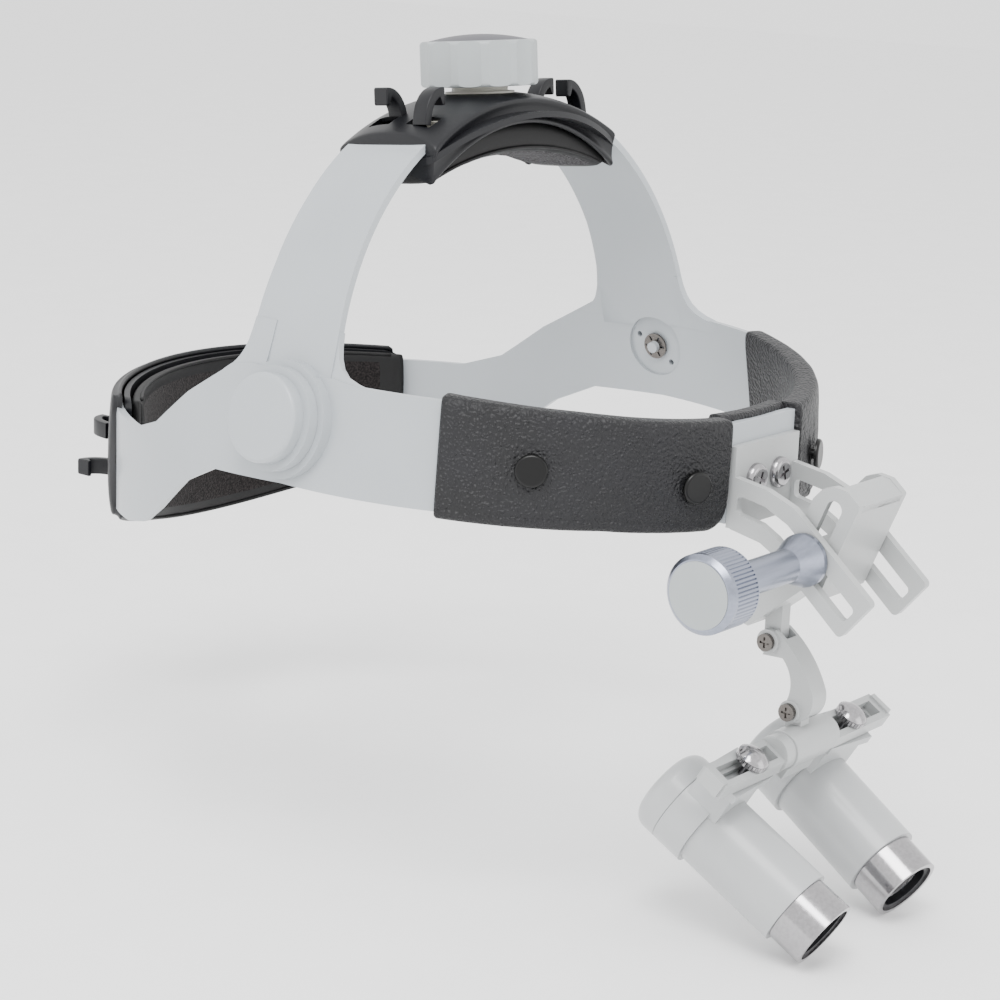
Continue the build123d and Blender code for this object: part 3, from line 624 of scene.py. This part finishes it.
def hook(radius, x, y, turn):
    """Swan-necked cable hook with a block at its tip; turn is the way it points."""
    line = np.array(HOOK_LINE)
    steps = np.linspace(0, len(line) - 1, 29)
    path = np.stack([np.interp(steps, range(len(line)), line[:, k]) for k in (0, 1)], axis=1)
    foot_x = abs(x - turn * line[0][0])
    height = math.sqrt(radius**2 - x**2)
    root = math.sqrt(radius**2 - foot_x**2) - height - HOOK_HALF * foot_x / radius - 0.5
    path = path[path[:, 1] >= root]
    for _ in range(3):
        path[1:-1] = (path[:-2] + 2 * path[1:-1] + path[2:]) / 4
    tangent = np.gradient(path, axis=0)
    tangent /= np.linalg.norm(tangent, axis=1, keepdims=True)
    loops = []
    for (px, pz), (tx, tz), along in zip(path, tangent, np.linspace(0, 1, len(path))):
        block = smoothstep((-3.3 - px) / 0.4)
        top, under = HOOK_HALF, HOOK_HALF + 2.5 * block
        end = 0.25 * smoothstep((along - 0.97) / 0.03)
        loop = []
        for u, v in rounded_square(under - end, top - end, 2.6 - end):
            loop.append((-turn * (px - tz * u), v, pz + tx * u))
        loops.append(loop)
    obj = tube("hook", loops)
    obj.data.transform(offset(x, y, height))
    return obj


def rounded_square(under, top, half_width, corner=0.4):
    """Cross-section of a hook: (depth below the line, width) pairs with rounded corners."""
    points = []
    corners = ((under, half_width), (-top, half_width), (-top, -half_width), (under, -half_width))
    for first, (u, v) in zip((0, 90, 180, 270), corners):
        middle = (u - math.copysign(corner, u), v - math.copysign(corner, v))
        for step in (0, 30, 60, 90):
            turn = math.radians(first + step)
            points.append((middle[0] + corner * math.cos(turn), middle[1] + corner * math.sin(turn)))
    return points


def saddle_pad(name, radius, half_x, sides, top, bottom, place):
    """Cushion under a saddle: smooth walls, textured face and a piped seam between them."""
    loops, seams = [], ([], [])
    for along in np.linspace(-1, 1, 80):
        bow = 1 - along * along
        low = -(sides[0][0] + (sides[0][1] - sides[0][0]) * bow)
        high = sides[1][0] + (sides[1][1] - sides[1][0]) * bow
        rises = [pair[0] + (pair[1] - pair[0]) * along * along for pair in (top, bottom)]
        ends = math.sqrt(max(0.0, 1 - max(0.0, (abs(along) - 0.93) / 0.07) ** 2))
        loop = []
        for turned in np.linspace(0, 2 * math.pi, 64, endpoint=False):
            c, s = math.cos(turned), math.sin(turned)
            y = (low + high) / 2 + (high - low) / 2 * math.copysign(abs(c) ** 0.35, c)
            crown = math.copysign(abs(s) ** 0.6, s)
            full = (0.55 + 0.45 * ends) if crown < 0 else 1.0
            rise = (rises[0] + rises[1]) / 2 + (rises[0] - rises[1]) / 2 * crown * full
            lump = 0.3 * noise.noise(Vector((along * 7, y * 0.12, 2.0))) if crown < 0 else 0.0
            loop.append(on_arc(radius, along * half_x, y, rise + lump))
        loops.append(loop)
        if abs(along) < 0.95:
            for seam, side in zip(seams, (low + 0.15, high - 0.15)):
                seam.append(on_arc(radius, along * half_x, side, rises[1] * 0.8 + rises[0] * 0.2))
    cushion = tube(name, loops)
    for index, face in enumerate(cushion.data.polygons):
        row, spot = divmod(index, 64)
        face.material_index = 0 if 40 < spot < 55 and 3 < row < 75 else 1
    obj = joined(name, [cushion] + [piping(seam, 0.5) for seam in seams])
    obj.data.transform(place)
    return obj


def piping(line, radius):
    """Round welt along a line of points."""
    line = np.asarray(line)
    tangent = np.gradient(line, axis=0)
    tangent /= np.linalg.norm(tangent, axis=1, keepdims=True)
    across = np.cross(tangent, (0.0, 1.0, 0.0))
    loops = []
    for point, side, along in zip(line, across, tangent):
        third = np.cross(along, side)
        turns = np.linspace(0, 2 * math.pi, 10, endpoint=False)
        loops.append([point + radius * (math.cos(t) * side + math.sin(t) * third) for t in turns])
    welt = tube("welt", loops)
    for face in welt.data.polygons:
        face.material_index = 1
    return welt


TOP_PLACE = Matrix.Rotation(-STRAP_LEAN, 4, "X") @ offset(0, 0, TOP_CREST - TOP_R)
REAR_PLACE = offset(0, REAR_CREST - REAR_R, REAR_Z) @ Matrix.Rotation(math.radians(-90), 4, "X")


# ---- build the soft and moulded pieces --------------------------------------------------------
def build_band():
    """Panels, sleeves and forehead pad."""
    for side in ("left", "right"):
        panel(side)
    near = mirrored(leather_sleeve("sleeve_pattern", 0.1), "leather_sleeve_right")
    bpy.data.objects.remove(bpy.data.objects["sleeve_pattern"])
    far = leather_sleeve("leather_sleeve_left", 0.55)
    for sleeve in (near, far):
        use(sleeve, "band", LEATHER, "leather", "leather_sleeves")
    pad = use(forehead_pad(), "band", LEATHER, "leather", "forehead_pad")
    softened(["front_plate"], "front_plate_moulding", 0.4, PANEL, "band", "panel_plastic")
    softened(["hub_discs"], "hub_disc_mouldings", 0.7, PANEL, "band", "panel_plastic")


def build_saddles():
    """Top and rear housings and their pads."""
    edge = (TOP_CREST_EDGE, TOP_LIP_EDGE)
    upper, lower = (REAR_UPPER_CREST, REAR_UPPER_LIP), (REAR_LOWER_CREST, REAR_LOWER_LIP)
    windows = (-7.6, 7.6)
    top = saddle("top_housing_moulding", TOP_R, 44.4, edge, edge, 35.0, 0.0, windows, TOP_PLACE)
    use(top, "band", DARK, "dark_plastic", "top_housing")
    rear = saddle(
        "rear_housing_moulding", REAR_R, REAR_HALF_X, upper, lower, 54.0, -2.5, windows, REAR_PLACE)
    use(rear, "band", DARK, "dark_plastic", "rear_housing")
    sides = ((15.0, 15.6), (15.0, 15.6))
    top_pad = saddle_pad("top_pad_cover", TOP_R, 42.5, sides, (-5.3, -6.8), (-16.2, -13.4), TOP_PLACE)
    sides = ((24.6, 26.4), (12.4, 26.4))
    rear_pad = saddle_pad("rear_pad_cover", REAR_R, 63.0, sides, (-5.5, -7.6), (-11.0, -14.5), REAR_PLACE)
    for pad, material, node in ((top_pad, PAD_TOP, "top_pad"), (rear_pad, PAD_REAR, "rear_pad")):
        use(pad, "band", material, "pad_fabric", node)
        pad.data.materials.append(PAD_WALL)


def carriage_flange():
    """Sloped web closing the carriage between its cheeks."""
    outline = [(-6.8, 18.6), (-6.8, 20.8), (-1.4, 22.5), (1.2, 22.0), (1.2, 20.0)]
    half = 10.4
    points = [(x, y, z) for x in (-half, half) for y, z in outline]
    count = len(outline)
    faces = [tuple(range(count)), tuple(reversed(range(count, 2 * count)))]
    faces += [(k, count + k, count + (k + 1) % count, (k + 1) % count) for k in range(count)]
    web = new_object("carriage_web", points, faces)
    tidy_normals(web)
    web.data.transform(offset(0, -128.2, -29.6) @ Matrix.Rotation(math.radians(22), 4, "X"))
    return web


def build_castings():
    """Carrier and prism housings with rounded edges."""
    for nodes, name, width, body in (
        (["bracket"], "bracket_casting", 0.5, "band"),
        (["c_arm"], "curved_link_casting", 0.6, "c_arm"),
        (["centre_body"], "centre_body_casting", 0.5, "centre"),
        (["pd_arm_left"], "slotted_arm_left", 0.4, "centre"),
        (["pd_arm_right"], "slotted_arm_right", 0.4, "centre"),
    ):
        softened(nodes, name, width, BRACKET, body, "bracket_paint")
    cheeks, web = ["carriage", "carriage_cheeks"], [carriage_flange()]
    softened(cheeks, "carriage_casting", 0.45, BRACKET, "carriage", "bracket_paint", web)
    for side in ("left", "right"):
        for node, name, width in (("prism_housing", "prism_housing_casting", 0.6),
                                  ("housing_cover", "rear_cover_casting", 0.4)):
            nodes = [f"{node}_{side}"]
            softened(nodes, f"{name}_{side}", width, BARREL, f"barrel_{side}", "barrel_paint")


def paint_frame():
    """Materials of the CAD pieces that are shown as they are."""
    finishes = {
        "star_clips": STEEL, "press_studs": STUD, "top_base": DARK, "rear_base": DARK,
        "knob_collars": GEAR, "bracket_screws": CHROME, "top_knob": KNOB, "rear_knob": KNOB,
        "top_knob_cap": CAP, "rear_knob_cap": CAP, "top_pinion": GEAR, "rear_pinion": GEAR,
        "top_rack_left": GEAR, "top_rack_right": GEAR, "rear_rack_left": GEAR, "rear_rack_right": GEAR,
        "clamp_bolt": STEEL, "clamp_sleeve": ALUMINIUM, "clamp_knob": ALUMINIUM,
        "clamp_knob_disc": KNOB, "slot_guides": STEEL, "hinge_screws": STEEL,
    }
    optics = {
        "thumb_screw": CHROME, "barrel_tube": BARREL, "objective_ring": CHROME, "retaining_ring": DARK,
        "objective_lens": GLASS, "eye_lens": GLASS, "prism": GLASS, "eyecup": RUBBER,
    }
    for side in ("left", "right"):
        for node, material in optics.items():
            finishes[f"{node}_{side}"] = material
    for node, material in finishes.items():
        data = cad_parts[node].data
        data.materials.clear()
        data.materials.append(material)


# ---- floor, light and camera ------------------------------------------------------------------
def stage_scene():
    """Pale floor and soft studio light."""
    low = size_before[0]
    reach = 4000
    corners = ((-reach, -reach), (reach, -reach), (reach, reach), (-reach, reach))
    points = [(x, y, low[2] / MM - 0.5) for x, y in corners]
    floor = new_object("floor", points, [(0, 1, 2, 3)])
    floor.data.materials.append(moulded("floor_paper", (0.96, 0.96, 0.96, 1), 0.9, spread=0.01))
    world = bpy.data.worlds.new("studio")
    world.use_nodes = True
    world.node_tree.nodes["Background"].inputs["Color"].default_value = (1, 1, 1, 1)
    world.node_tree.nodes["Background"].inputs["Strength"].default_value = 1.8
    bpy.context.scene.world = world
    for name, place, size, power in (
        ("key", (-0.7, -0.5, 1.3), 0.8, 26.0),
        ("fill", (-1.2, 0.9, 0.5), 1.2, 4.0),
        ("front", (0.5, -1.3, 0.2), 0.8, 3.0),
    ):
        light = bpy.data.lights.new(name, "AREA")
        light.size = size
        light.energy = power
        lamp = bpy.data.objects.new(name, light)
        lamp.location = place
        lamp.rotation_euler = (-Vector(place)).to_track_quat("-Z", "Y").to_euler()
        bpy.context.scene.collection.objects.link(lamp)


def place_camera():
    """Camera at the viewing angle of the reference."""
    azimuth, elevation, roll = (math.radians(v) for v in (51.79, 13.89, 2.28))
    level = math.cos(elevation)
    forward = Vector((math.sin(azimuth) * level, math.cos(azimuth) * level, -math.sin(elevation)))
    right = Vector((math.cos(azimuth), -math.sin(azimuth), 0))
    up = right.cross(forward)
    across = right * math.cos(roll) + up * math.sin(roll)
    above = up * math.cos(roll) - right * math.sin(roll)
    data = bpy.data.cameras.new("camera")
    data.sensor_width = 36.0
    data.lens = 90.43
    data.clip_start = 0.01
    camera = bpy.data.objects.new("camera", data)
    camera.matrix_world = Matrix((across, above, -forward)).transposed().to_4x4()
    camera.location = (-0.6002, -0.4789, 0.1510)
    bpy.context.scene.collection.objects.link(camera)
    bpy.context.scene.camera = camera


build_band()
build_saddles()
build_castings()
paint_frame()
stage_scene()
place_camera()
